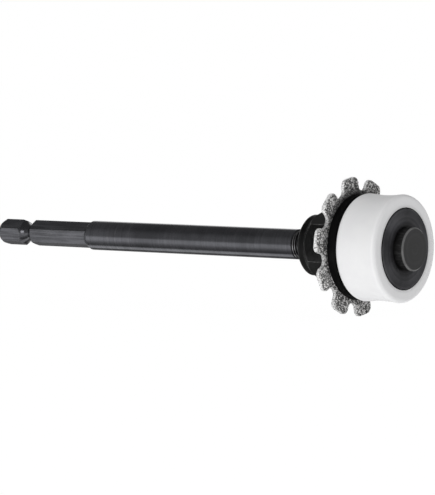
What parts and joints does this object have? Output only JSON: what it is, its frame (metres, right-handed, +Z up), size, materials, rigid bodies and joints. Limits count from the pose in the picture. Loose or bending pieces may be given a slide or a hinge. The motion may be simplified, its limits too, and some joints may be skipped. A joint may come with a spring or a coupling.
{
  "type": "internal pipe cutter",
  "caption": "Toothed diamond-grit wheel and free-turning nylon guide roller on a long arbor with a hex quick-change shank, for cutting pipe from the inside.",
  "frame": {"origin": "centre of the free end of the hex shank, on the tool's axis", "axes": "+X along the tool's axis from the shank to the cutting head, +Z up"},
  "size_m": [0.1387, 0.0366, 0.0366],
  "materials": {
    "black_oxide_steel": "satin",
    "locking_nylon": "matte",
    "wheel_steel": "satin",
    "diamond_grit": "matte",
    "bearing_steel": "polished",
    "cage_steel": "satin",
    "white_nylon": "satin",
    "seal_rubber": "matte"
  },
  "bodies": {
    "arbor": {"arbor": "black_oxide_steel", "clamp_nut": "black_oxide_steel", "locking_insert": "locking_nylon", "rear_washer": "black_oxide_steel", "wheel_core": "wheel_steel", "grit_teeth": "diamond_grit", "front_flange": "black_oxide_steel", "rear_spacer": "bearing_steel", "bearing_inner_ring": "bearing_steel", "front_spacer": "bearing_steel", "cover_disc": "black_oxide_steel", "cap_nut": "black_oxide_steel"},
    "roller": {"guide_roller": "white_nylon", "bearing_outer_ring": "bearing_steel", "seal_rear": "seal_rubber", "seal_front": "seal_rubber"},
    "ball_cage": {"bearing_balls": "bearing_steel", "cage_front": "cage_steel", "cage_rear": "cage_steel", "cage_rivets": "cage_steel"}
  },
  "joints": [
    {"name": "roller_spin", "type": "hinge", "parent": "arbor", "child": "roller", "pos_m": [0.12965, 0, 0], "axis": [1, 0, 0], "continuous": true},
    {"name": "cage_spin", "type": "hinge", "parent": "arbor", "child": "ball_cage", "pos_m": [0.12965, 0, 0], "axis": [1, 0, 0], "continuous": true}
  ],
  "couplings": [
    {"joint": "cage_spin", "follows": "roller_spin", "ratio": 0.6323}
  ]
}
